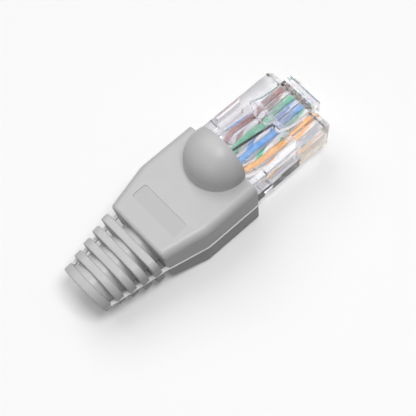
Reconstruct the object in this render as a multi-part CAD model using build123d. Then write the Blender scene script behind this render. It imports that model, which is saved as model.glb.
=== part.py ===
from build123d import *
import math
import os

# A moulded strain relief boot on a clear eight-way modular plug.
# Lengths are millimetres. X runs from the tail of the boot to the nose of the plug,
# Y to the left and Z up. The parts are worked out with the cable axis at y = 0, z = 0
# and the rear face of the boot's shell at x = 0, and are moved at the end so that the
# assembly stands on z = 0 with the middle of its box on the Z axis.

# Clearances
FIT_GAP = 0.08
BORE_GAP = 0.15
WIRE_GAP = 0.10
SLOT_GAP = 0.05

# Wires and cable jacket
WIRE_COUNT = 8
WIRE_DIAMETER = 0.92
JACKET_WALL = 0.5
JACKET_LENGTH = 3.7
FAN_RUN = 5.2
FLAT_RUN = 3.0
FAN_BEND = 1.6

# Plug housing
PLUG_WIDTH = 11.68
PLUG_LENGTH = 21.0
PLUG_ROOF = 1.65
WIRE_FLOOR = 1.35
JACKET_FLOOR = 0.95
REAR_BLOCK_LENGTH = 5.0
CHANNEL_SIDE_ROOM = 0.42
JACKET_ROOM_LENGTH = 4.6
WIRE_ROOM_LENGTH = 10.9
WIRE_STOP_WALL = 0.7
NOSE_BEVEL_LENGTH = 1.35
NOSE_BEVEL_DROP = 1.7
NOTCH_FROM_REAR = 8.2
NOTCH_LENGTH = 1.7
NOTCH_DEPTH = 0.85
PANEL_FROM_REAR = 9.6
PANEL_LENGTH = 4.4
PANEL_HEIGHT = 2.6
PANEL_RISE = 0.3
PANEL_DEPTH = 0.3
CRIMP_BAR_LENGTH = 2.0
CRIMP_BAR_FROM_REAR = 1.7
CRIMP_BITE = 0.6
CRIMP_POCKET_DEPTH = 0.5
EDGE_BREAK = 0.25

# Contacts
CONTACT_THICKNESS = 0.35
CONTACT_LENGTH = 4.8
CONTACT_RECESS = 0.45
CONTACT_SETBACK = 0.4
CONTACT_NOSE_RADIUS = 0.5

# Latch, moulded in one with the plug housing
LATCH_WIDTH = 6.1
LATCH_THICKNESS = 0.95
LATCH_NOSE_REACH = 0.75
NOSE_BLOCK_LENGTH = 3.5
NOSE_BLOCK_RISE = 0.8
NOSE_BLOCK_HEIGHT = 2.7
HOOK_LENGTH = 2.3
HOOK_FOOT_RISE = 1.4
SHOULDER_FROM_NOSE = 8.36
SHOULDER_RISE = 3.0
TAB_ROOT_WIDTH = 3.25
TAB_TIP_WIDTH = 2.8
TIP_FROM_NOSE = 17.9
TIP_RISE = 5.5
TAB_RECESS_FROM_SHOULDER = 1.0
TAB_RECESS_LENGTH = 6.6
TAB_RECESS_DEPTH = 0.15
TAB_RECESS_RIM = 0.45

# Boot shell
SHELL_LENGTH = 15.7
PLUG_INSERTION = 5.7
SHELL_TAPER_LENGTH = 6.3
SHELL_REAR_WIDTH = 11.2
SHELL_SIDE_WALL = 1.08
SHELL_TOP_WALL = 1.07
SHELL_BOTTOM_WALL = 1.0
SHELL_REAR_WALL = 1.2
SHELL_REAR_TOP = 4.9
SHELL_REAR_DEPTH = 3.6
SHELL_REAR_LEAN = 9.0
SEAT_STEP = 0.8
TOP_EDGE_RADIUS = 1.3
BOTTOM_EDGE_RADIUS = 0.6
REAR_EDGE_RADIUS = 0.55
BEND_RADIUS = 4.0
SEAM_WIDTH = 0.22
SEAM_PROUD = 0.1
MOUTH_RAKE = 3.0
LABEL_LENGTH = 2.5
LABEL_WIDTH = 8.6
LABEL_FROM_REAR = 2.3
LABEL_DEPTH = 0.12
LABEL_CORNER = 0.5

# Dome over the latch tip
DOME_AHEAD_OF_TIP = 0.45
DOME_RISE = 1.3
DOME_CLEARANCE = 0.46
DOME_WALL = 0.85

# Ribbed tail
TUBE_WALL = 0.65
RIB_COUNT = 4
RIB_THICKNESS = 1.25
RIB_GAP = 0.81
FIRST_GAP = 0.95
RIB_RISE = 0.8
RIB_FRONT_DEPTH = 3.5
RIB_EDGE_RADIUS = 0.22
RIB_FRONT_CORNER = 0.9
RIB_LOWER_STEP = 0.1
RIB_LEAN = 9.0
RING_LEAN = 13.0
TAIL_FLARE = 0.05
RING_LENGTH = 1.35
RING_RISE = 0.68
RAIL_THICKNESS = 0.3
RAIL_WIDTH = 0.6

# How the pieces are drawn: how far a cut runs past its face, how near two places are taken as
# one, how far out a side edge lies, and how large a radius may be beside what it rounds
ON_END = (Align.CENTER, Align.CENTER, Align.MIN)
PAST = 2.0
SAME_PLACE = 0.01
SIDE_SHARE = 0.8
ROUND_SHARE = 0.49
EDGE_SHARE = 0.4
RIM_SHARE = 0.95

# Worked out from the sizes above
wire_radius = WIRE_DIAMETER / 2
wire_pitch = WIRE_DIAMETER + WIRE_GAP
row_offset = wire_pitch / 2
jacket_bore = math.hypot(1.5 * wire_pitch, row_offset) + wire_radius + SLOT_GAP
jacket_radius = jacket_bore + JACKET_WALL
bore_radius = jacket_radius + BORE_GAP
tube_radius = bore_radius + TUBE_WALL
ring_radius = tube_radius + RING_RISE

plug_half = PLUG_WIDTH / 2
plug_rear = SHELL_LENGTH - PLUG_INSERTION
plug_nose = plug_rear + PLUG_LENGTH
room_half_height = jacket_radius + FIT_GAP
wire_room_floor = row_offset + wire_radius + FIT_GAP
channel_half = (WIRE_COUNT - 1) / 2 * wire_pitch + wire_radius + CHANNEL_SIDE_ROOM
plug_top = room_half_height + PLUG_ROOF
plug_bottom = -wire_room_floor - WIRE_FLOOR
block_bottom = -room_half_height - JACKET_FLOOR
wire_room_start = plug_rear + JACKET_ROOM_LENGTH
wire_room_end = wire_room_start + WIRE_ROOM_LENGTH
wire_end = plug_nose - WIRE_STOP_WALL
latch_nose = plug_nose + LATCH_NOSE_REACH
latch_tip_x = latch_nose - TIP_FROM_NOSE
latch_tip_z = plug_top + TIP_RISE

shell_half = plug_half + FIT_GAP + SHELL_SIDE_WALL
shell_rear_half = SHELL_REAR_WIDTH / 2
shell_top = plug_top + FIT_GAP + SHELL_TOP_WALL
shell_bottom = block_bottom - FIT_GAP - SHELL_BOTTOM_WALL
lean_run = math.tan(math.radians(SHELL_REAR_LEAN))
shell_rear_x = -SHELL_REAR_TOP * lean_run
dome_x = latch_tip_x + DOME_AHEAD_OF_TIP
dome_z = shell_top + DOME_RISE
dome_room_radius = DOME_CLEARANCE + math.hypot(DOME_AHEAD_OF_TIP, TAB_TIP_WIDTH / 2,
                                               latch_tip_z - dome_z)
dome_radius = dome_room_radius + DOME_WALL

rib_pitch = RIB_THICKNESS + RIB_GAP
ring_start = -FIRST_GAP - RIB_COUNT * rib_pitch
tail_end = ring_start - RING_LENGTH
far = 8 * shell_half


def bend_corners(outline):
    """The corners of an outline where the shell's taper meets its straight part."""
    return [v for v in outline.vertices() if abs(v.X - SHELL_TAPER_LENGTH) < SAME_PLACE]


def outline_solid(plan_points, side_points, bend_radius=0.0):
    """A solid that has one outline seen from above and another seen from the side."""
    plan = Polygon(*plan_points, align=None)
    side = Polygon(*side_points, align=None)
    if bend_radius:
        plan = fillet(bend_corners(plan), bend_radius)
        side = fillet(bend_corners(side), bend_radius)
    upright = extrude(plan, amount=far, both=True)
    across = extrude(Plane.XZ * side, amount=far, both=True)
    return upright & across


def shell_outside():
    """The outer form of the shell. Its rear face leans back, and its long edges are rounded."""
    front = SHELL_LENGTH + PAST
    rear = shell_rear_x
    half = shell_rear_half + (shell_half - shell_rear_half) * rear / SHELL_TAPER_LENGTH
    plan = [(rear, -half), (SHELL_TAPER_LENGTH, -shell_half), (front, -shell_half),
            (front, shell_half), (SHELL_TAPER_LENGTH, shell_half), (rear, half)]
    side = [(SHELL_REAR_DEPTH * lean_run, -SHELL_REAR_DEPTH), (SHELL_TAPER_LENGTH, shell_bottom),
            (front, shell_bottom), (front, shell_top), (SHELL_TAPER_LENGTH, shell_top),
            (rear, SHELL_REAR_TOP)]
    body = outline_solid(plan, side, BEND_RADIUS)
    body = fillet(long_edges(body, SIDE_SHARE * SHELL_REAR_TOP, far), TOP_EDGE_RADIUS)
    body = fillet(long_edges(body, -far, -SIDE_SHARE * SHELL_REAR_DEPTH), BOTTOM_EDGE_RADIUS)
    rear_rim = body.faces().sort_by(Axis.X)[0].edges()
    return fillet(rear_rim, min(REAR_EDGE_RADIUS, RIM_SHARE * BOTTOM_EDGE_RADIUS))


def long_edges(body, low, high):
    """The edges that run along both sides of the shell, between two heights."""
    found = []
    for edge in body.edges():
        place = edge.center()
        outside = abs(place.Y) > SIDE_SHARE * shell_rear_half and low < place.Z < high
        inner = SAME_PLACE < place.X < SHELL_LENGTH + PAST - SAME_PLACE
        if outside and inner:
            found.append(edge)
    return found


def shell_seam():
    """The thin raised line along both sides, where the two halves of the mould meet."""
    out = SEAM_PROUD
    front = SHELL_LENGTH + PAST
    plan = Polygon((0, -shell_rear_half - out), (SHELL_TAPER_LENGTH, -shell_half - out),
                   (front, -shell_half - out), (front, shell_half + out),
                   (SHELL_TAPER_LENGTH, shell_half + out), (0, shell_rear_half + out), align=None)
    plan = fillet(bend_corners(plan), BEND_RADIUS)
    return extrude(plan, amount=SEAM_WIDTH / 2, both=True)


def dome_solid(radius):
    """A dome on a short upright wall, over the tip of the latch."""
    cap = Pos(dome_x, 0, dome_z) * Sphere(radius)
    wall = Pos(dome_x, 0, plug_top) * Cylinder(radius, dome_z - plug_top, align=ON_END)
    return cap + wall


def shell_room():
    """The room inside the shell: the plug's pocket, and a narrower space behind it."""
    pocket_half = plug_half + FIT_GAP
    behind_half = pocket_half - SEAT_STEP
    rear_half = shell_rear_half - SHELL_SIDE_WALL
    front = SHELL_LENGTH + 2 * PAST
    back = SHELL_REAR_WALL
    plan = [(back, -rear_half), (SHELL_TAPER_LENGTH, -behind_half), (plug_rear, -behind_half),
            (plug_rear, -pocket_half), (front, -pocket_half), (front, pocket_half),
            (plug_rear, pocket_half), (plug_rear, behind_half), (SHELL_TAPER_LENGTH, behind_half),
            (back, rear_half)]
    top = plug_top + FIT_GAP
    floor = block_bottom - FIT_GAP
    side = [(back, SHELL_BOTTOM_WALL - SHELL_REAR_DEPTH), (SHELL_TAPER_LENGTH, floor),
            (front, floor), (front, top), (SHELL_TAPER_LENGTH, top),
            (back, SHELL_REAR_TOP - SHELL_TOP_WALL)]
    return outline_solid(plan, side)


def label_recess():
    """A shallow plain panel sunk in the sloping top, behind the dome."""
    run = SHELL_TAPER_LENGTH - shell_rear_x
    slope = math.degrees(math.atan2(shell_top - SHELL_REAR_TOP, run))
    middle = LABEL_FROM_REAR + LABEL_LENGTH / 2
    rise = SHELL_REAR_TOP + (middle - shell_rear_x) * (shell_top - SHELL_REAR_TOP) / run
    panel = RectangleRounded(LABEL_LENGTH, LABEL_WIDTH, LABEL_CORNER)
    cut = extrude(Pos(0, 0, -LABEL_DEPTH) * panel, amount=PAST)
    return Pos(middle, 0, rise) * Rot(0, -slope, 0) * cut


def tail_share(x):
    """How far back along the tail a place is, from 0 at the shell to 1 at the end ring."""
    return x / (ring_start - RING_LENGTH / 2)


def tail_half_width(x):
    """Half the width of the tail at a place along it."""
    front_half = shell_rear_half + TAIL_FLARE
    return front_half + (ring_radius - front_half) * tail_share(x)


def tail_rib(start, length, lean, step=0.0):
    """One rib across the tail, its top leaning back. The ribs turn from wide to nearly round."""
    middle = start - length / 2
    share = tail_share(middle)
    half = tail_half_width(middle)
    top = tube_radius + RIB_RISE + (RING_RISE - RIB_RISE) * share
    depth = RIB_FRONT_DEPTH + (ring_radius - RIB_FRONT_DEPTH) * share
    round_most = ROUND_SHARE * min(2 * half, top + depth)
    corner = RIB_FRONT_CORNER + (round_most - RIB_FRONT_CORNER) * min(share, 1)
    section = Pos(0, (top - depth) / 2) * RectangleRounded(2 * half, top + depth, corner)
    rib = Pos(start, 0, 0) * extrude(Plane.YZ * section, amount=-length)
    rims = [e for e in rib.edges() if abs(abs(e.center().X - middle) - length / 2) < SAME_PLACE]
    rib = fillet(rims, min(RIB_EDGE_RADIUS, EDGE_SHARE * length))
    rib = Pos(middle, 0, 0) * Rot(0, -lean, 0) * Pos(-middle, 0, 0) * rib
    if step:
        beside = Box(far, far, far, align=(Align.CENTER, Align.MIN, Align.MAX))
        beside = Pos(0, half - step, -RAIL_THICKNESS / 2) * beside
        rib = rib - beside - mirror(beside, Plane.XZ)
    return rib


def tail_rails():
    """The two thin bars, one on each side, that run just proud of the tips of the ribs."""
    root = SHELL_REAR_WALL / 2
    end = ring_start - RIB_EDGE_RADIUS
    proud = SEAM_PROUD - RAIL_WIDTH
    inner = [(root, tail_half_width(0) + proud), (end, tail_half_width(end) + proud)]
    outer = [(end, tail_half_width(end) + SEAM_PROUD), (root, tail_half_width(0) + SEAM_PROUD)]
    bar = extrude(Polygon(*inner, *outer, align=None), amount=RAIL_THICKNESS / 2, both=True)
    return bar + mirror(bar, Plane.XZ)


def tail():
    """The flexible tail: a tube with ribs round it, an end ring and two side rails.

    Below the rails the ribs are a little narrower, so that the rails stand out as a line.
    """
    tube = Cylinder(tube_radius, SHELL_REAR_WALL - tail_end + PAST, align=ON_END)
    tube = Pos(SHELL_REAR_WALL, 0, 0) * Rot(0, -90, 0) * tube
    behind = Box(far, far, far, align=(Align.MAX, Align.CENTER, Align.CENTER))
    tube = tube - Pos(ring_start - RING_LENGTH / 2, 0, 0) * Rot(0, -RING_LEAN, 0) * behind
    starts = [-FIRST_GAP - i * rib_pitch for i in range(RIB_COUNT)]
    ribs = [tail_rib(start, RIB_THICKNESS, RIB_LEAN, RIB_LOWER_STEP) for start in starts]
    ring = tail_rib(ring_start, RING_LENGTH, RING_LEAN)
    body = tube + tail_rails() + ring
    for rib in ribs:
        body = body + rib
    return body


def mouth_cut():
    """What lies in front of the slightly raked mouth of the shell."""
    ahead = Box(far, far, far, align=(Align.MIN, Align.CENTER, Align.CENTER))
    return Pos(SHELL_LENGTH, 0, 0) * Rot(0, -MOUTH_RAKE, 0) * ahead


def boot():
    """The whole boot, one soft moulding, hollow from the mouth to the end of the tail."""
    outside = shell_outside() + shell_seam() + dome_solid(dome_radius) + tail()
    bore_length = SHELL_REAR_WALL - tail_end + 2 * PAST
    bore = Rot(0, -90, 0) * Cylinder(bore_radius, bore_length, align=ON_END)
    bore = Pos(SHELL_REAR_WALL + PAST, 0, 0) * bore
    hollow = shell_room() + dome_solid(dome_room_radius) + bore
    return outside - hollow - label_recess() - mouth_cut()


def block(x0, x1, half_width, z0, z1):
    """A plain block, centred across the cable axis."""
    middle = Pos((x0 + x1) / 2, 0, (z0 + z1) / 2)
    return middle * Box(x1 - x0, 2 * half_width, z1 - z0)


def wire_y(i):
    """Where wire i lies across the plug, counted from the left."""
    return ((WIRE_COUNT - 1) / 2 - i) * wire_pitch


def plug_blank():
    """The plug's outer block: taller at the back, with a bevelled nose."""
    body = block(plug_rear, plug_nose, plug_half, plug_bottom, plug_top)
    rear = block(plug_rear, plug_rear + REAR_BLOCK_LENGTH, plug_half, block_bottom, plug_top)
    bevel = Polygon((plug_nose - NOSE_BEVEL_LENGTH, plug_top),
                    (plug_nose, plug_top - NOSE_BEVEL_DROP),
                    (plug_nose + PAST, plug_top - NOSE_BEVEL_DROP),
                    (plug_nose + PAST, plug_top + PAST),
                    (plug_nose - NOSE_BEVEL_LENGTH, plug_top + PAST), align=None)
    body = body - extrude(Plane.XZ * bevel, amount=plug_half + PAST, both=True)
    uprights = body.edges().filter_by(Axis.Z).group_by(Axis.X)[-1]
    return chamfer(uprights, EDGE_BREAK) + rear


def plug_rooms():
    """The spaces inside the plug: the jacket's room, the wires' room and the wire holes."""
    jacket = block(plug_rear - PAST, wire_room_start, channel_half, -room_half_height,
                   room_half_height)
    wires = block(wire_room_start - EDGE_BREAK, wire_room_end, channel_half, -wire_room_floor,
                  room_half_height)
    rooms = jacket + wires
    hole_length = wire_end - wire_room_end + SLOT_GAP
    for i in range(WIRE_COUNT):
        hole = Cylinder(wire_radius + SLOT_GAP / 2, hole_length, align=ON_END)
        rooms = rooms + Pos(wire_room_end, wire_y(i), 0) * Rot(0, 90, 0) * hole
    return rooms


def contact_slots():
    """Eight narrow slots in the underside, open at the nose, one for each contact."""
    start = plug_nose - CONTACT_SETBACK - CONTACT_LENGTH - SLOT_GAP
    half = CONTACT_THICKNESS / 2 + SLOT_GAP
    slot = block(start, plug_nose + PAST, half, plug_bottom - PAST, -wire_radius)
    slots = [Pos(0, wire_y(i), 0) * slot for i in range(WIRE_COUNT)]
    return slots


def plug_outer_cuts():
    """The notch under the plug, and the shallow panel in each side."""
    notch_start = plug_rear + NOTCH_FROM_REAR
    notch = block(notch_start, notch_start + NOTCH_LENGTH, plug_half + PAST, plug_bottom - PAST,
                  plug_bottom + NOTCH_DEPTH)
    panel_start = plug_rear + PANEL_FROM_REAR
    wide = block(panel_start, panel_start + PANEL_LENGTH, plug_half + PAST, PANEL_RISE,
                 PANEL_RISE + PANEL_HEIGHT)
    core = block(panel_start - PAST, panel_start + PANEL_LENGTH + PAST, plug_half - PANEL_DEPTH,
                 PANEL_RISE - PAST, PANEL_RISE + PANEL_HEIGHT + PAST)
    return notch + (wide - core)


def crimp_bar():
    """The bar that is pushed up into the jacket when the plug is crimped."""
    start = plug_rear + CRIMP_BAR_FROM_REAR
    end = start + CRIMP_BAR_LENGTH
    half = jacket_radius
    return block(start, end, half, -room_half_height - SLOT_GAP, -jacket_radius + CRIMP_BITE)


def crimp_pocket():
    """The pocket that the crimp bar leaves in the underside of the plug."""
    start = plug_rear + CRIMP_BAR_FROM_REAR
    end = start + CRIMP_BAR_LENGTH
    return block(start, end, jacket_radius, block_bottom - PAST, block_bottom + CRIMP_POCKET_DEPTH)


def latch():
    """The latch: a block at the nose, an arm with two shoulders, and a tab that rises to the rear."""
    hook_x = latch_nose - SHOULDER_FROM_NOSE
    foot_x = hook_x + HOOK_LENGTH
    root_x = latch_nose - NOSE_BLOCK_LENGTH
    tip_x = latch_tip_x
    tip_z = latch_tip_z
    block_top = plug_top + NOSE_BLOCK_RISE
    foot_z = plug_top + HOOK_FOOT_RISE
    hook_z = plug_top + SHOULDER_RISE
    thick = LATCH_THICKNESS
    arm = Polygon((latch_nose - EDGE_BREAK, block_top), (root_x, block_top), (foot_x, foot_z),
                  (hook_x, hook_z), (tip_x, tip_z), (tip_x, tip_z - thick),
                  (hook_x, hook_z - thick), (foot_x, foot_z - thick), (root_x, block_top - thick),
                  (latch_nose - EDGE_BREAK, block_top - thick), align=None)
    wide_half = LATCH_WIDTH / 2
    root_half = TAB_ROOT_WIDTH / 2
    tip_half = TAB_TIP_WIDTH / 2
    plan = Polygon((latch_nose, -wide_half), (latch_nose, wide_half), (hook_x, wide_half),
                   (hook_x, root_half), (tip_x, tip_half), (tip_x, -tip_half),
                   (hook_x, -root_half), (hook_x, -wide_half), align=None)
    lever = extrude(Plane.XZ * arm, amount=wide_half, both=True)
    lever = lever & extrude(plan, amount=tip_z + PAST)
    nose = block(root_x, latch_nose, wide_half, block_top - NOSE_BLOCK_HEIGHT, block_top)
    nose = chamfer(nose.edges().group_by(Axis.X)[-1], EDGE_BREAK)
    return lever + nose - tab_recess(hook_x, hook_z, tip_x, tip_z)


def tab_recess(hook_x, hook_z, tip_x, tip_z):
    """A shallow plain panel sunk in the top of the tab."""
    slope = math.degrees(math.atan2(tip_z - hook_z, hook_x - tip_x))
    middle = hook_x - TAB_RECESS_FROM_SHOULDER - TAB_RECESS_LENGTH / 2
    rise = hook_z + (hook_x - middle) * math.tan(math.radians(slope))
    width = TAB_TIP_WIDTH - 2 * TAB_RECESS_RIM
    panel = RectangleRounded(TAB_RECESS_LENGTH, width, ROUND_SHARE * width)
    cut = extrude(Pos(0, 0, -TAB_RECESS_DEPTH) * panel, amount=PAST)
    return Pos(middle, 0, rise) * Rot(0, slope, 0) * cut


def plug_housing():
    """The clear housing and its latch, one moulding."""
    housing = plug_blank() + latch() - plug_rooms() - plug_outer_cuts() - crimp_pocket()
    for slot in contact_slots():
        housing = housing - slot
    return housing + crimp_bar()


def contact(i):
    """One flat contact blade, on edge in its slot under wire i."""
    front = plug_nose - CONTACT_SETBACK
    rear = front - CONTACT_LENGTH
    top = -wire_radius - SLOT_GAP
    bottom = plug_bottom + CONTACT_RECESS
    half = CONTACT_THICKNESS / 2
    blade = block(rear, front, half, bottom, top)
    nose = blade.edges().filter_by(Axis.Y).group_by(Axis.X)[-1].sort_by(Axis.Z)[0]
    return Pos(0, wire_y(i), 0) * fillet(nose, min(CONTACT_NOSE_RADIUS, EDGE_SHARE * (top - bottom)))


def wire(i):
    """One insulated wire: out of the jacket in two rows, fanned flat, then into its hole."""
    column = (WIRE_COUNT / 2 - 1) / 2 - i // 2
    pack_y = column * wire_pitch
    row = row_offset if i % 2 == 0 else -row_offset
    start = plug_rear + jacket_setback()
    fan_start = start + JACKET_LENGTH + row_offset
    fan_end = fan_start + FAN_RUN
    flat_start = fan_end + FAN_BEND
    flat_end = flat_start + FLAT_RUN
    points = [(start, pack_y, row), (fan_start, pack_y, row), (fan_end, wire_y(i), row),
              (flat_start, wire_y(i), row), (flat_end, wire_y(i), 0), (wire_end, wire_y(i), 0)]
    turned = [points[0]]
    for before, here, after in zip(points, points[1:], points[2:]):
        run_in = Vector(*here) - Vector(*before)
        run_out = Vector(*after) - Vector(*here)
        if run_in.get_angle(run_out) > SAME_PLACE:
            turned.append(here)
    turned.append(points[-1])
    path = FilletPolyline(*turned, radius=FAN_BEND) if len(turned) > 2 else Line(*turned)
    section = Plane(origin=points[0], z_dir=(1, 0, 0)) * Circle(wire_radius)
    return sweep(section, path=path)


def jacket_setback():
    """How far the cut end of the jacket lies inside the back of the plug."""
    return JACKET_ROOM_LENGTH - JACKET_LENGTH - FIT_GAP


def cable_jacket():
    """The short end of cable jacket that the crimp bar holds in the plug."""
    start = plug_rear + jacket_setback()
    sleeve = Cylinder(jacket_radius, JACKET_LENGTH, align=ON_END)
    sleeve = sleeve - Cylinder(jacket_bore, JACKET_LENGTH, align=ON_END)
    sleeve = Pos(start, 0, 0) * Rot(0, 90, 0) * sleeve
    bar_start = plug_rear + CRIMP_BAR_FROM_REAR - SLOT_GAP
    bite = block(bar_start, bar_start + CRIMP_BAR_LENGTH + 2 * SLOT_GAP, jacket_radius + PAST,
                 -jacket_radius - PAST, -jacket_radius + CRIMP_BITE)
    return sleeve - bite


pieces = {"boot": boot(), "plug_housing": plug_housing(), "cable_jacket": cable_jacket()}
for number in range(WIRE_COUNT):
    pieces[f"wire_{number + 1}"] = wire(number)
    pieces[f"contact_{number + 1}"] = contact(number)

middle_x = (pieces["boot"].bounding_box().min.X + latch_nose) / 2
stand = Pos(-middle_x, 0, -shell_bottom)

os.makedirs("parts", exist_ok=True)
for name, solid in pieces.items():
    export_step(stand * solid, f"parts/{name}.step")
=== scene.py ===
# %% [markdown]
# A soft grey boot on a clear modular plug
#
# The object is the end of a network lead. A clear plug holds eight coloured wires, and a soft
# moulded boot is pushed over its back, with a ribbed tail that keeps the cable from kinking.
# The solids come ready made, in metres, and are loaded first. This script gives them their
# finish, and models again the pieces whose edges or stripes need a finer mesh.

# %% Load the solids
import math

import bmesh
import bpy
from mathutils import Matrix, Vector


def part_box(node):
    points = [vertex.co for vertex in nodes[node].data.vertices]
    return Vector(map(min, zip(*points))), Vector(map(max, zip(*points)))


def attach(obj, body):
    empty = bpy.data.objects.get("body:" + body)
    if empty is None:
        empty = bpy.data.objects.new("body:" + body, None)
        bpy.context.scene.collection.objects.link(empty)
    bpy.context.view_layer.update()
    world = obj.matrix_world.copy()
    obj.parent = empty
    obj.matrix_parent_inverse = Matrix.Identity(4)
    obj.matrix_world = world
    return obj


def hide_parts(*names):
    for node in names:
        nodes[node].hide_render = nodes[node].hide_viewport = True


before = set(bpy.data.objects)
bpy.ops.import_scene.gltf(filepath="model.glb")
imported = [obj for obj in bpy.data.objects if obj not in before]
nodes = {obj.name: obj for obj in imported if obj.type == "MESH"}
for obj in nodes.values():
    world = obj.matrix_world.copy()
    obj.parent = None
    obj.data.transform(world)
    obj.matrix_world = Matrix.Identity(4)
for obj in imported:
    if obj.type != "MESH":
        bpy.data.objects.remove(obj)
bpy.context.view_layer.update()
scene = bpy.context.scene
MM = 0.001
print("solids:", len(nodes))

# %% [markdown]
# The camera stands where the photographer's did. Its place is given as three turns about the
# object and a distance, because those can be read and changed by hand. A camera that is not
# turned looks straight down, so it is first tipped back to its height above the horizon, then
# swung round the object, and last rolled a little about its own line of sight.

# %% Camera
VIEW_AZIMUTH = 41.352
VIEW_ELEVATION = 65.737
VIEW_ROLL = -1.599
VIEW_DISTANCE = 185.116 * MM
VIEW_TARGET = Vector((0.035, -2.476, 4.73)) * MM
PHOTO_SIDE = 416
FOCAL_PIXELS = 1312.238


def make_camera():
    data = bpy.data.cameras.new("camera")
    data.lens = data.sensor_width * FOCAL_PIXELS / PHOTO_SIDE
    data.clip_start = 0.01
    camera = bpy.data.objects.new("camera", data)
    scene.collection.objects.link(camera)
    swing = Matrix.Rotation(-math.radians(VIEW_AZIMUTH), 4, "Z")
    tip = Matrix.Rotation(math.radians(90 - VIEW_ELEVATION), 4, "X")
    roll = Matrix.Rotation(math.radians(VIEW_ROLL), 4, "Z")
    back = Matrix.Translation((0, 0, VIEW_DISTANCE))
    camera.matrix_world = Matrix.Translation(VIEW_TARGET) @ swing @ tip @ roll @ back
    scene.camera = camera
    return camera


camera = make_camera()
scene.view_settings.view_transform = "Standard"
print("camera at, in mm:", [round(c / MM, 1) for c in camera.matrix_world.translation])

# %% [markdown]
# Shader maths is easier to read as sums than as boxes and wires. The small class below wraps
# one output of a node, so that Python's own plus and times add the Math nodes. NodeSheet can
# make any node from a type, its settings and its inputs, and a Finish is a sheet with a
# Principled surface, which is what every piece of the object wears.

# %% A short way to write materials
# The Mix node has sockets for each kind of value, and these are the ones for colours.
MIX_SHARE, MIX_FIRST, MIX_SECOND, MIX_RESULT = 0, 6, 7, 2


class Value:
    """One output of a node, which can be added, multiplied and compared."""

    def __init__(self, sheet, socket):
        self.sheet = sheet
        self.socket = socket

    def maths(self, operation, *inputs):
        return self.sheet.add("ShaderNodeMath", {"operation": operation}, dict(enumerate(inputs)))

    def __add__(self, other):
        return self.maths("ADD", self, other)

    def __sub__(self, other):
        return self.maths("SUBTRACT", self, other)

    def __mul__(self, other):
        return self.maths("MULTIPLY", self, other)

    def __gt__(self, other):
        return self.maths("GREATER_THAN", self, other)

    def __lt__(self, other):
        return self.maths("LESS_THAN", self, other)

    def size(self):
        return self.maths("ABSOLUTE", self)

    def root(self):
        return self.maths("SQRT", self)

    def most(self, other):
        return self.maths("MAXIMUM", self, other)

    def part(self):
        """What is left over after the whole number."""
        return self.maths("FRACT", self)

    def rise(self, start, end):
        """Climbs softly from 0 to 1 as the value goes from start to end."""
        inputs = {"Value": self, "From Min": start, "From Max": end}
        settings = {"interpolation_type": "SMOOTHSTEP"}
        return self.sheet.add("ShaderNodeMapRange", settings, inputs)

    __radd__ = __add__
    __rmul__ = __mul__


class NodeSheet:
    """A sheet of shader nodes under construction."""

    def __init__(self, tree):
        self.tree = tree

    def add(self, kind, settings=None, inputs=None, output=0):
        node = self.tree.nodes.new(kind)
        for name, setting in (settings or {}).items():
            setattr(node, name, setting)
        for name, given in (inputs or {}).items():
            self.feed(node, name, given)
        return Value(self, node.outputs[output])

    def feed(self, node, name, given):
        if isinstance(given, Value):
            self.tree.links.new(given.socket, node.inputs[name])
        else:
            node.inputs[name].default_value = given

    def axes(self, vector):
        """The X, Y and Z of a vector, as three values."""
        first = self.add("ShaderNodeSeparateXYZ", inputs={"Vector": vector})
        return [Value(self, out) for out in first.socket.node.outputs]

    def noise(self, place, scale, detail=2.0, roughness=0.5):
        inputs = {"Vector": place, "Scale": scale, "Detail": detail, "Roughness": roughness}
        return self.add("ShaderNodeTexNoise", inputs=inputs)

    def blend(self, share, first, second):
        """Goes from the first colour to the second as the share goes from 0 to 1."""
        node = self.tree.nodes.new("ShaderNodeMix")
        node.data_type = "RGBA"
        self.feed(node, MIX_SHARE, share)
        for place, colour in ((MIX_FIRST, first), (MIX_SECOND, second)):
            self.feed(node, place, colour if isinstance(colour, Value) else (*colour, 1))
        return Value(self, node.outputs[MIX_RESULT])

    def seen(self):
        """One for what the camera, gloss and clear plastic look at, zero for bounced light."""
        path = self.tree.nodes.new("ShaderNodeLightPath")
        rays = ("Is Camera Ray", "Is Glossy Ray", "Is Transmission Ray")
        camera_ray, glossy_ray, clear_ray = (Value(self, path.outputs[ray]) for ray in rays)
        return camera_ray.most(glossy_ray).most(clear_ray)


class Finish(NodeSheet):
    """One material of the object, named after what it is made of."""

    def __init__(self, name):
        self.material = bpy.data.materials.new(name)
        self.material.use_nodes = True
        super().__init__(self.material.node_tree)
        self.surface = self.tree.nodes["Principled BSDF"]

    def set(self, **inputs):
        for name, given in inputs.items():
            self.feed(self.surface, name.replace("_", " "), given)

    def place(self, scale=(1, 1, 1)):
        """Object coordinates in millimetres, so that scales are in waves per millimetre."""
        here = self.add("ShaderNodeTexCoord", output="Object")
        per_mm = [s / MM for s in scale]
        return self.add("ShaderNodeMapping", inputs={"Vector": here, "Scale": per_mm})

    def bump(self, height, distance, strength):
        inputs = {"Height": height, "Distance": distance, "Strength": strength}
        return self.add("ShaderNodeBump", inputs=inputs, output="Normal")


print("material helpers ready")

# %% [markdown]
# The floor is a large pale sheet. The photograph's background is burnt out to white, so with
# distance from the object the floor fades from a lit surface, which takes the shadow, to plain
# white. The light that bounces up from a pale floor would wash out the dark sides of the boot,
# so for bounced light the same sheet is much darker.

# %% Floor
FLOOR_SIDE = 4.0
FLOOR_WHITE = 0.95
FLOOR_BOUNCE = 0.10
FADE_START, FADE_END = 24, 150


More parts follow.
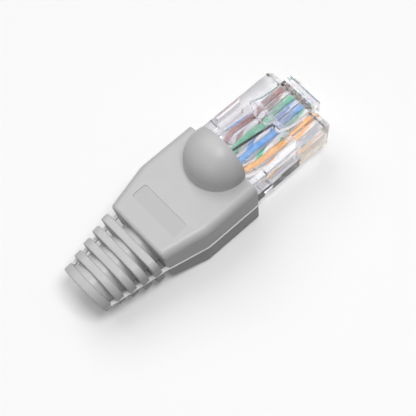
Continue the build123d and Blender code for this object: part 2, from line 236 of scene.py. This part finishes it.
def make_floor():
    bpy.ops.object.select_all(action="DESELECT")
    bpy.ops.mesh.primitive_plane_add(size=FLOOR_SIDE)
    floor = bpy.context.object
    floor.name = "floor"
    finish = Finish("pale_floor")
    seen = finish.seen()
    dark, light = (FLOOR_BOUNCE,) * 3, (FLOOR_WHITE,) * 3
    finish.set(Base_Color=finish.blend(seen, dark, light), Roughness=0.9, Specular_IOR_Level=0.0)
    white = finish.add("ShaderNodeEmission", inputs={"Color": (1, 1, 1, 1), "Strength": 1.0})
    lit = Value(finish, finish.surface.outputs[0])
    x, y = finish.axes(finish.place())[:2]
    fade = (x * x + y * y).root().rise(FADE_START, FADE_END)
    mixed = finish.add("ShaderNodeMixShader", inputs={0: seen * fade, 1: lit, 2: white})
    finish.feed(finish.tree.nodes["Material Output"], "Surface", mixed)
    floor.data.materials.append(finish.material)


make_floor()
print("floor side in m:", FLOOR_SIDE)

# %% [markdown]
# The light is that of a studio tent. A weak even glow comes from all round, and one wide lamp on
# the far side throws the shadow towards the viewer. A small lamp hangs lower and nearer, and
# makes the soft spot on the dome. Two weak lamps, one overhead and one behind the tail, cast no
# shadow, so that they also reach between the ribs and into the clear plug. Each lamp is given
# as a share of full light, where a share of one in all shows a colour as it is written. Its
# power follows from its distance.

# %% Light
TENT_SHARE = 0.18


def make_lamp(name, share, direction, distance, side, shadow):
    """A square lamp that gives the object this share of full light."""
    data = bpy.data.lights.new(name, "AREA")
    data.shape = "SQUARE"
    data.size = side
    data.energy = share * math.pi ** 2 * distance ** 2
    data.use_shadow = shadow
    lamp = bpy.data.objects.new(name, data)
    scene.collection.objects.link(lamp)
    towards = Vector(direction).normalized()
    lamp.location = towards * distance
    lamp.visible_camera = False
    lamp.rotation_mode = "QUATERNION"
    lamp.rotation_quaternion = towards.to_track_quat("Z", "Y")


def make_tent():
    """An even glow, which the camera, gloss and clear plastic see as white."""
    world = bpy.data.worlds.new("tent")
    world.use_nodes = True
    scene.world = world
    sheet = NodeSheet(world.node_tree)
    glow = world.node_tree.nodes["Background"]
    sheet.feed(glow, "Color", (1, 1, 1, 1))
    sheet.feed(glow, "Strength", sheet.seen() * (1.0 - TENT_SHARE) + TENT_SHARE)


make_tent()
make_lamp("far_lamp", 0.38, (0.06, 0.56, 0.82), 0.60, 0.46, True)
make_lamp("near_lamp", 0.40, (0.04, -0.20, 0.97), 0.30, 0.10, True)
make_lamp("sky_lamp", 0.18, (0.0, 0.0, 1.0), 0.60, 0.50, False)
make_lamp("tail_lamp", 0.12, (-0.78, -0.36, 0.42), 0.60, 0.30, False)

# %% [markdown]
# The boot is one soft vinyl moulding. Its solid has all of its shape, so it stays and only gets
# a finish. Vinyl of this kind is even in colour, so the life is in its skin. Moulds for such
# parts are often spark-eroded, which leaves a fine satin grain. The sunk panel behind the dome
# is made a touch smoother and darker, as if it came from an insert of its own. The tips of the
# ribs are paler, as they are the first to rub on things. The raised line at the joint of the
# mould gets a painted highlight: its colour is made much paler, as if light caught it. Below
# that line the shell and the ribs get painted shade: their colour is darkened there.

# %% Boot
BOOT_GREY = (0.50, 0.50, 0.505)
CLOUD_SHADE = 0.975
PANEL_SHADE = 0.90
# Painted shade: how dark the colour is made below the mould line.
PAINTED_LOWER_SHADE = 0.55
RUBBED_SHADE = 1.18
# Painted highlight: how pale the colour is made along the raised mould line.
PAINTED_LINE_HIGHLIGHT = 1.75
AXIS_HEIGHT = 4.733
PANEL_X = (-7.84, -5.40)
PANEL_HALF_WIDTH = 4.28
PANEL_LOWEST = AXIS_HEIGHT + 3.0
PANEL_SOFT = 0.03
RIBS_X = (-10.4, -10.9)
RIB_TIP_RADIUS = (3.95, 4.3)
LINE_HEIGHT = (0.20, 0.12)
LINE_SIDE = (3.7, 3.9)
BELOW_LINE_Z = (AXIS_HEIGHT - 0.05, AXIS_HEIGHT - 0.25)
COLLAR_X = (-19.5, -18.9)


def panel_mask(x, y, z):
    """One inside the sunk panel on the sloping top, zero round it."""
    middle = (PANEL_X[0] + PANEL_X[1]) / 2
    half = (PANEL_X[1] - PANEL_X[0]) / 2
    along = (x - middle).size().rise(half + PANEL_SOFT, half - PANEL_SOFT)
    across = y.size().rise(PANEL_HALF_WIDTH + PANEL_SOFT, PANEL_HALF_WIDTH - PANEL_SOFT)
    return along * across * (z > PANEL_LOWEST)


def rubbed_mask(x, y, z):
    """Where the tips of the ribs stand proud of the tail."""
    up = z - AXIS_HEIGHT
    from_axis = (y * y + up * up).root()
    return x.rise(*RIBS_X) * from_axis.rise(*RIB_TIP_RADIUS)


def line_mask(y, z):
    """The raised line along both sides, where the halves of the mould meet."""
    up = z - AXIS_HEIGHT
    return up.size().rise(*LINE_HEIGHT) * y.size().rise(*LINE_SIDE)


def grey(shade):
    """The boot's colour, so many times as bright."""
    return [shade * part for part in BOOT_GREY]


def boot_vinyl():
    finish = Finish("boot_vinyl")
    place = finish.place()
    x, y, z = finish.axes(place)
    clouds = finish.noise(place, 0.30)
    flow = finish.noise(finish.place((0.15, 0.9, 0.9)), 1.0)
    grain = finish.noise(place, 11.0, detail=4.0, roughness=0.65)
    speck = finish.noise(place, 2.6, detail=3.0)
    rubbed = rubbed_mask(x, y, z) * speck.rise(0.35, 0.65)
    panel = panel_mask(x, y, z)
    body = finish.blend(clouds.rise(0.3, 0.7), grey(CLOUD_SHADE), BOOT_GREY)
    body = finish.blend(panel, body, grey(PANEL_SHADE))
    # Painted shade: the shell and the ribs are darkened below the mould line, but not on the ring
    # at the end of the tail.
    painted_shade_below = z.rise(*BELOW_LINE_Z) * x.rise(*COLLAR_X)
    body = finish.blend(painted_shade_below, body, grey(PAINTED_LOWER_SHADE))
    body = finish.blend(rubbed * 0.35, body, grey(RUBBED_SHADE))
    # Painted highlight: the raised mould line along both sides is made much paler.
    body = finish.blend(line_mask(y, z) * 0.85, body, grey(PAINTED_LINE_HIGHLIGHT))
    rough = 0.30 + 0.07 * clouds + 0.06 * flow + 0.10 * rubbed - 0.06 * panel
    finish.set(Base_Color=body, Roughness=rough, Specular_IOR_Level=0.42,
               Normal=finish.bump(grain, 0.008 * MM, 0.55))
    return finish.material


def dress(node, material):
    """Gives a solid its finish."""
    solid = nodes[node]
    solid.data.materials.clear()
    solid.data.materials.append(material)
    print(node, "gets", material.name, "on", len(solid.data.polygons), "faces")


dress("boot", boot_vinyl())

# %% [markdown]
# The plug is moulded in clear polycarbonate. On a real one the long outer edges are slightly
# rounded, and each of them shows as a thin line of bent light. The solid's edges are dead
# sharp, and a clear piece without rounded edges looks like nothing at all, so the solid is
# copied, its loose triangles are joined, and only its long outer edges are bevelled: the small
# slots for the contacts would leave no room for a bevel. The outside is polished. The walls of
# the slots and the wires' holes are made matt, because polished ones showed as a dark chequered
# band, and the photograph has no such band.

# %% Clear housing
EDGE_ROUND = 0.13 * MM
SHORTEST_EDGE = 1.2 * MM
PLUG_HALF = 5.84 * MM
LATCH_FOOT = 9.3 * MM
SIDE_BAND = 0.3 * MM
LATCH_MIDDLE = 0.5 * MM
SHARP_DEGREES = 25
SLOTS_X = (15.7, 20.7)
SLOTS_HALF_WIDTH = 4.4
SLOTS_Z = (2.4, 5.4)
SLOTS_ROUGHNESS = 0.65


def alone(piece):
    """Makes a piece the only one selected."""
    bpy.ops.object.select_all(action="DESELECT")
    piece.select_set(True)
    bpy.context.view_layer.objects.active = piece


def copy_solid(node, name):
    """A new piece with a joined-up copy of a solid's mesh."""
    piece = bpy.data.objects.new(name, nodes[node].data.copy())
    scene.collection.objects.link(piece)
    alone(piece)
    bpy.ops.object.mode_set(mode="EDIT")
    bpy.ops.mesh.select_all(action="SELECT")
    bpy.ops.mesh.remove_doubles(threshold=0.0005 * MM)
    bpy.ops.mesh.dissolve_limited(angle_limit=math.radians(0.5))
    bpy.ops.object.mode_set(mode="OBJECT")
    return piece


def is_outer_edge(edge):
    """Long, sharp, pointing outwards, and on the outside of the plug or on its latch."""
    if len(edge.link_faces) != 2 or edge.calc_length() < SHORTEST_EDGE:
        return False
    if not edge.is_convex or edge.calc_face_angle() < math.radians(SHARP_DEGREES):
        return False
    middle = (edge.verts[0].co + edge.verts[1].co) / 2
    on_side = abs(middle.y) > PLUG_HALF - SIDE_BAND
    on_latch = middle.z > LATCH_FOOT and abs(middle.y) > LATCH_MIDDLE
    return on_side or on_latch


def flat_faces_stay_flat(piece, degrees):
    """Smooth shading in which the large faces decide the normals, and the small ones bend."""
    alone(piece)
    bpy.ops.object.shade_smooth_by_angle(angle=math.radians(degrees))
    weighted = piece.modifiers.new("weighted", "WEIGHTED_NORMAL")
    weighted.keep_sharp = True
    weighted.weight = 100
    bpy.ops.object.modifier_apply(modifier=weighted.name)


def round_outer_edges(piece):
    alone(piece)
    bpy.ops.object.mode_set(mode="EDIT")
    bpy.ops.mesh.select_mode(type="EDGE")
    bpy.ops.mesh.select_all(action="DESELECT")
    mesh = bmesh.from_edit_mesh(piece.data)
    chosen = [edge for edge in mesh.edges if is_outer_edge(edge)]
    for edge in chosen:
        edge.select_set(True)
    bmesh.update_edit_mesh(piece.data)
    bpy.ops.mesh.bevel(offset=EDGE_ROUND, segments=2, affect="EDGES", clamp_overlap=True)
    bpy.ops.object.mode_set(mode="OBJECT")
    flat_faces_stay_flat(piece, 35)
    return len(chosen)


def slots_mask(x, y, z):
    """One on the walls of the slots and holes inside the nose, zero elsewhere."""
    along = (x > SLOTS_X[0]) * (x < SLOTS_X[1])
    across = y.size() < SLOTS_HALF_WIDTH
    return along * across * (z > SLOTS_Z[0]) * (z < SLOTS_Z[1])


def clear_plastic():
    finish = Finish("clear_plastic")
    place = finish.place()
    x, y, z = finish.axes(place)
    flow = finish.noise(finish.place((0.25, 1.0, 1.0)), 0.7)
    scuffs = finish.noise(place, 3.0, detail=4.0).rise(0.62, 0.75)
    ripple = finish.noise(place, 0.35, detail=1.0)
    rough = 0.02 + 0.03 * flow + 0.10 * scuffs + SLOTS_ROUGHNESS * slots_mask(x, y, z)
    finish.set(Base_Color=(0.935, 0.93, 0.965, 1), Roughness=rough, Transmission_Weight=1.0,
               IOR=1.46, Normal=finish.bump(ripple, 0.01 * MM, 0.25))
    return finish.material


housing = copy_solid("plug_housing", "clear_housing")
housing.data.materials.clear()
housing.data.materials.append(clear_plastic())
rounded = round_outer_edges(housing)
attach(housing, "root")
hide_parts("plug_housing")
print("clear housing:", rounded, "edges rounded,", len(housing.data.polygons), "faces")

# %% [markdown]
# Eight wires leave the jacket in two rows, fan out and end side by side in their holes. A wire is
# a round tube along a curve, so each one is a curve with a round bevel. Half of the wires are
# white with a coloured stripe that winds round them, and a stripe needs a surface of its own
# to follow: turned into a mesh, the tube keeps a UV map that runs round and along it.

# %% Wire routes
WIRE_RADIUS = 0.46 * MM
WIRE_PITCH = 1.02 * MM
FAN_START = 4.21 * MM
FAN_END = 9.41 * MM
FLAT_START = 11.01 * MM
FLAT_END = 14.01 * MM
HOLE_START = 15.2 * MM
MIDDLE_WIRE = 4.5
MIDDLE_COLUMN = 1.5


def wire_points(number):
    """The route of one wire, from the jacket to the end of its hole."""
    low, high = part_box(f"wire_{number}")
    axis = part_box("wire_1")[0].z + WIRE_RADIUS
    column = (number - 1) // 2
    packed = (MIDDLE_COLUMN - column) * WIRE_PITCH
    spread = (MIDDLE_WIRE - number) * WIRE_PITCH
    row = axis + (WIRE_PITCH / 2 if number % 2 else -WIRE_PITCH / 2)
    start = low.x
    return [(start, packed, row), (start + FAN_START, packed, row), (start + FAN_END, spread, row),
            (start + FLAT_START, spread, row), (start + FLAT_END, spread, axis),
            (start + HOLE_START, spread, axis), (high.x, spread, axis)]


def make_wire(number):
    """One wire as a tube along its route, with a cut end."""
    curve = bpy.data.curves.new(f"wire_{number}_skin", "CURVE")
    curve.dimensions = "3D"
    curve.bevel_depth = WIRE_RADIUS
    curve.bevel_resolution = 6
    curve.resolution_u = 10
    curve.use_fill_caps = True
    points = wire_points(number)
    spline = curve.splines.new("NURBS")
    spline.points.add(len(points) - 1)
    for point, place in zip(spline.points, points):
        point.co = (*place, 1)
    spline.order_u = 3
    spline.use_endpoint_u = True
    tube = bpy.data.objects.new(f"wire_{number}_skin", curve)
    scene.collection.objects.link(tube)
    alone(tube)
    bpy.ops.object.convert(target="MESH")
    bpy.ops.object.shade_smooth_by_angle(angle=math.radians(40))
    return tube


tubes = [make_wire(number) for number in range(1, 9)]
print("wire tubes:", len(tubes), "faces each:", len(tubes[0].data.polygons),
      "maps:", [layer.name for layer in tubes[0].data.uv_layers])

# %% [markdown]
# Each cut end shows the copper core. The flat cap of the tube is inset to a ring, and the
# disc inside the ring is given the copper, as a wire cutter leaves it.

# %% Copper cores
CORE_SHARE = 0.5


def pick_faces(piece, wanted):
    """Selects the faces of a piece in edit mode for which wanted(face) is true."""
    bpy.ops.mesh.select_mode(type="FACE")
    bpy.ops.mesh.select_all(action="DESELECT")
    mesh = bmesh.from_edit_mesh(piece.data)
    for face in mesh.faces:
        if wanted(face):
            face.select_set(True)
    bmesh.update_edit_mesh(piece.data)


def is_cap(face):
    """The caps are the only faces of a tube with more than four corners."""
    return len(face.verts) > 4


def bare_cores(tube):
    """Insets both caps of a wire, and gives the middles to the second material."""
    alone(tube)
    bpy.ops.object.mode_set(mode="EDIT")
    pick_faces(tube, is_cap)
    bpy.ops.mesh.inset(thickness=WIRE_RADIUS * (1 - CORE_SHARE), use_individual=True)
    tube.active_material_index = 1
    bpy.ops.object.material_slot_assign()
    bpy.ops.object.mode_set(mode="OBJECT")
    return sum(1 for face in tube.data.polygons if face.material_index == 1)


def copper():
    finish = Finish("copper_core")
    streaks = finish.noise(finish.place((4.0, 12.0, 12.0)), 1.0)
    tone = finish.blend(streaks.rise(0.3, 0.7), (0.80, 0.42, 0.28), (0.93, 0.55, 0.38))
    finish.set(Base_Color=tone, Roughness=0.25 + 0.2 * streaks, Metallic=1.0)
    return finish.material


copper_core = copper()

# %% [markdown]
# A solid wire has one colour, and its twin is white with a stripe of that colour. The stripe
# is drawn in the tube's own map: across and along are added, so that a line of equal value
# winds round the wire, and the leftover after the whole number picks one band of each turn.
# The insulation is a little milky, so every colour is washed with faint pale clouds.

# %% Wire skins
STRIPE_TURNS = 2.2
STRIPE_SHARE = 0.34
STRIPE_SOFT = 0.03
PAIR_COLOURS = {"brown": (0.40, 0.15, 0.13), "green": (0.05, 0.58, 0.27),
                "blue": (0.09, 0.38, 0.86), "orange": (0.92, 0.43, 0.09)}
WIRE_SKINS = ["brown", "white_brown", "green", "white_blue", "blue", "white_green", "orange",
              "white_orange"]
PALE = (0.83, 0.82, 0.79)


def wire_skin(name):
    finish = Finish(f"wire_{name}")
    along, around = finish.axes(finish.add("ShaderNodeUVMap", {"uv_map": "UVMap"}))[:2]
    clouds = finish.noise(finish.place(), 1.2, detail=3.0)
    print_lines = finish.noise(finish.place((0.2, 3.0, 3.0)), 1.0)
    colour = PAIR_COLOURS[name.split("_")[-1]]
    if name.startswith("white"):
        turn = (around + along * STRIPE_TURNS).part()
        stripe = turn.rise(STRIPE_SHARE + STRIPE_SOFT, STRIPE_SHARE - STRIPE_SOFT)
        skin = finish.blend(stripe, PALE, colour)
    else:
        skin = colour
    milky = finish.blend(clouds.rise(0.35, 0.75) * 0.12, skin, (0.9, 0.9, 0.9))
    finish.set(Base_Color=milky, Roughness=0.28 + 0.14 * print_lines, Coat_Weight=0.15)
    return finish.material


for number, tube in enumerate(tubes, start=1):
    tube.data.materials.clear()
    tube.data.materials.append(wire_skin(WIRE_SKINS[number - 1]))
    tube.data.materials.append(copper_core)
    ends = bare_cores(tube)
    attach(tube, "root")
    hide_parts(f"wire_{number}")
    f"wire_{WIRE_SKINS[number - 1]}"
print("wires finished, bare ends on the last one:", ends)

# %% [markdown]
# A contact is a stamped blade, gold over nickel, that stands on edge in its slot. Three teeth on
# its upper edge pierce the wire above it, and its lower front corner is where the socket's
# springs rub. One blade is made from a block that is cut across into short lengths: the lengths
# that become teeth are pulled up and drawn in to a point. Then it is copied eight times.

# %% Contacts
TOOTH_HEIGHT = 0.36 * MM
TOOTH_PLACES = (0.22, 0.50, 0.78)
TOOTH_HALF = 0.07
TOOTH_POINT = (0.15, 0.6, 1.0)
STAMPED_ROUND = 0.03 * MM
NOSE_REACH = 0.5 * MM
NOSE_TURNS = (20, 45, 70)
WORN_X = (19.6, 20.6)


def make_blade():
    """The first contact, made where its solid stands."""
    low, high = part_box("contact_1")
    bpy.ops.object.select_all(action="DESELECT")
    bpy.ops.mesh.primitive_cube_add(size=1, location=(low + high) / 2)
    blade = bpy.context.object
    blade.name = "contact_1_blade"
    blade.dimensions = high - low
    bpy.ops.object.transform_apply(location=True, rotation=False, scale=True)
    length = high.x - low.x
    bpy.ops.object.mode_set(mode="EDIT")
    for share in TOOTH_PLACES:
        for side in (-TOOTH_HALF, TOOTH_HALF):
            bpy.ops.mesh.select_all(action="SELECT")
            cut = (low.x + (share + side) * length, 0, 0)
            bpy.ops.mesh.bisect(plane_co=cut, plane_no=(1, 0, 0))
    for share in TOOTH_PLACES:
        middle = low.x + share * length

        def is_root(face):
            place = face.calc_center_median()
            return face.normal.z > 0.9 and abs(place.x - middle) < 0.5 * TOOTH_HALF * length

        pick_faces(blade, is_root)
        bpy.ops.mesh.extrude_region_move(TRANSFORM_OT_translate={"value": (0, 0, TOOTH_HEIGHT)})
        bpy.ops.transform.resize(value=TOOTH_POINT)
    bpy.ops.object.mode_set(mode="OBJECT")
    bevel = blade.modifiers.new("stamped_edges", "BEVEL")
    bevel.width = STAMPED_ROUND
    bevel.segments = 2
    bevel.limit_method = "ANGLE"
    bpy.ops.object.modifier_apply(modifier=bevel.name)
    round_nose(blade, low, high)
    bpy.ops.object.shade_smooth_by_angle(angle=math.radians(35))
    return blade


def round_nose(blade, low, high):
    """Rounds the lower front corner, where the springs of the socket rub."""
    alone(blade)
    bpy.ops.object.mode_set(mode="EDIT")
    centre = Vector((high.x - NOSE_REACH, 0, low.z + NOSE_REACH))
    for turn in NOSE_TURNS:
        slant = math.radians(turn)
        normal = Vector((math.cos(slant), 0, -math.sin(slant)))
        corner = centre + normal * NOSE_REACH
        bpy.ops.mesh.select_all(action="SELECT")
        bpy.ops.mesh.bisect(plane_co=corner, plane_no=normal, clear_outer=True, use_fill=True)
    bpy.ops.object.mode_set(mode="OBJECT")


def gold_plate():
    finish = Finish("gold_plate")
    place = finish.place()
    brushed = finish.noise(finish.place((1.0, 14.0, 14.0)), 1.0, detail=3.0)
    x = finish.axes(place)[0]
    tone = finish.blend(brushed.rise(0.3, 0.7), (0.86, 0.67, 0.35), (0.93, 0.77, 0.46))
    worn = x.rise(*WORN_X) * finish.noise(place, 4.0).rise(0.45, 0.6)
    tone = finish.blend(worn * 0.5, tone, (0.82, 0.78, 0.68))
    finish.set(Base_Color=tone, Roughness=0.30 + 0.16 * brushed, Metallic=1.0)
    return finish.material


blades = [make_blade()]
blades[0].data.materials.append(gold_plate())
for number in range(2, 9):
    mesh = blades[0].data.copy()
    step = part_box(f"contact_{number}")[0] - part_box("contact_1")[0]
    mesh.transform(Matrix.Translation(step))
    blade = bpy.data.objects.new(f"contact_{number}_blade", mesh)
    scene.collection.objects.link(blade)
    blades.append(blade)
for number, blade in enumerate(blades, start=1):
    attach(blade, "root")
    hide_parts(f"contact_{number}")
print("contacts:", len(blades), "faces each:", len(blades[0].data.polygons))

# %% [markdown]
# Only a short end of the cable's jacket is there, gripped by the bar inside the plug. It is
# extruded vinyl, so its skin has faint lines that run along it, and it stays the solid it is.

# %% Cable jacket
def jacket_vinyl():
    finish = Finish("jacket_vinyl")
    lines = finish.noise(finish.place((0.3, 6.0, 6.0)), 1.0)
    clouds = finish.noise(finish.place(), 0.8)
    tone = finish.blend(clouds.rise(0.3, 0.7), (0.33, 0.33, 0.34), (0.37, 0.37, 0.38))
    finish.set(Base_Color=tone, Roughness=0.42 + 0.15 * lines,
               Normal=finish.bump(lines, 0.01 * MM, 0.5))
    return finish.material


dress("cable_jacket", jacket_vinyl())
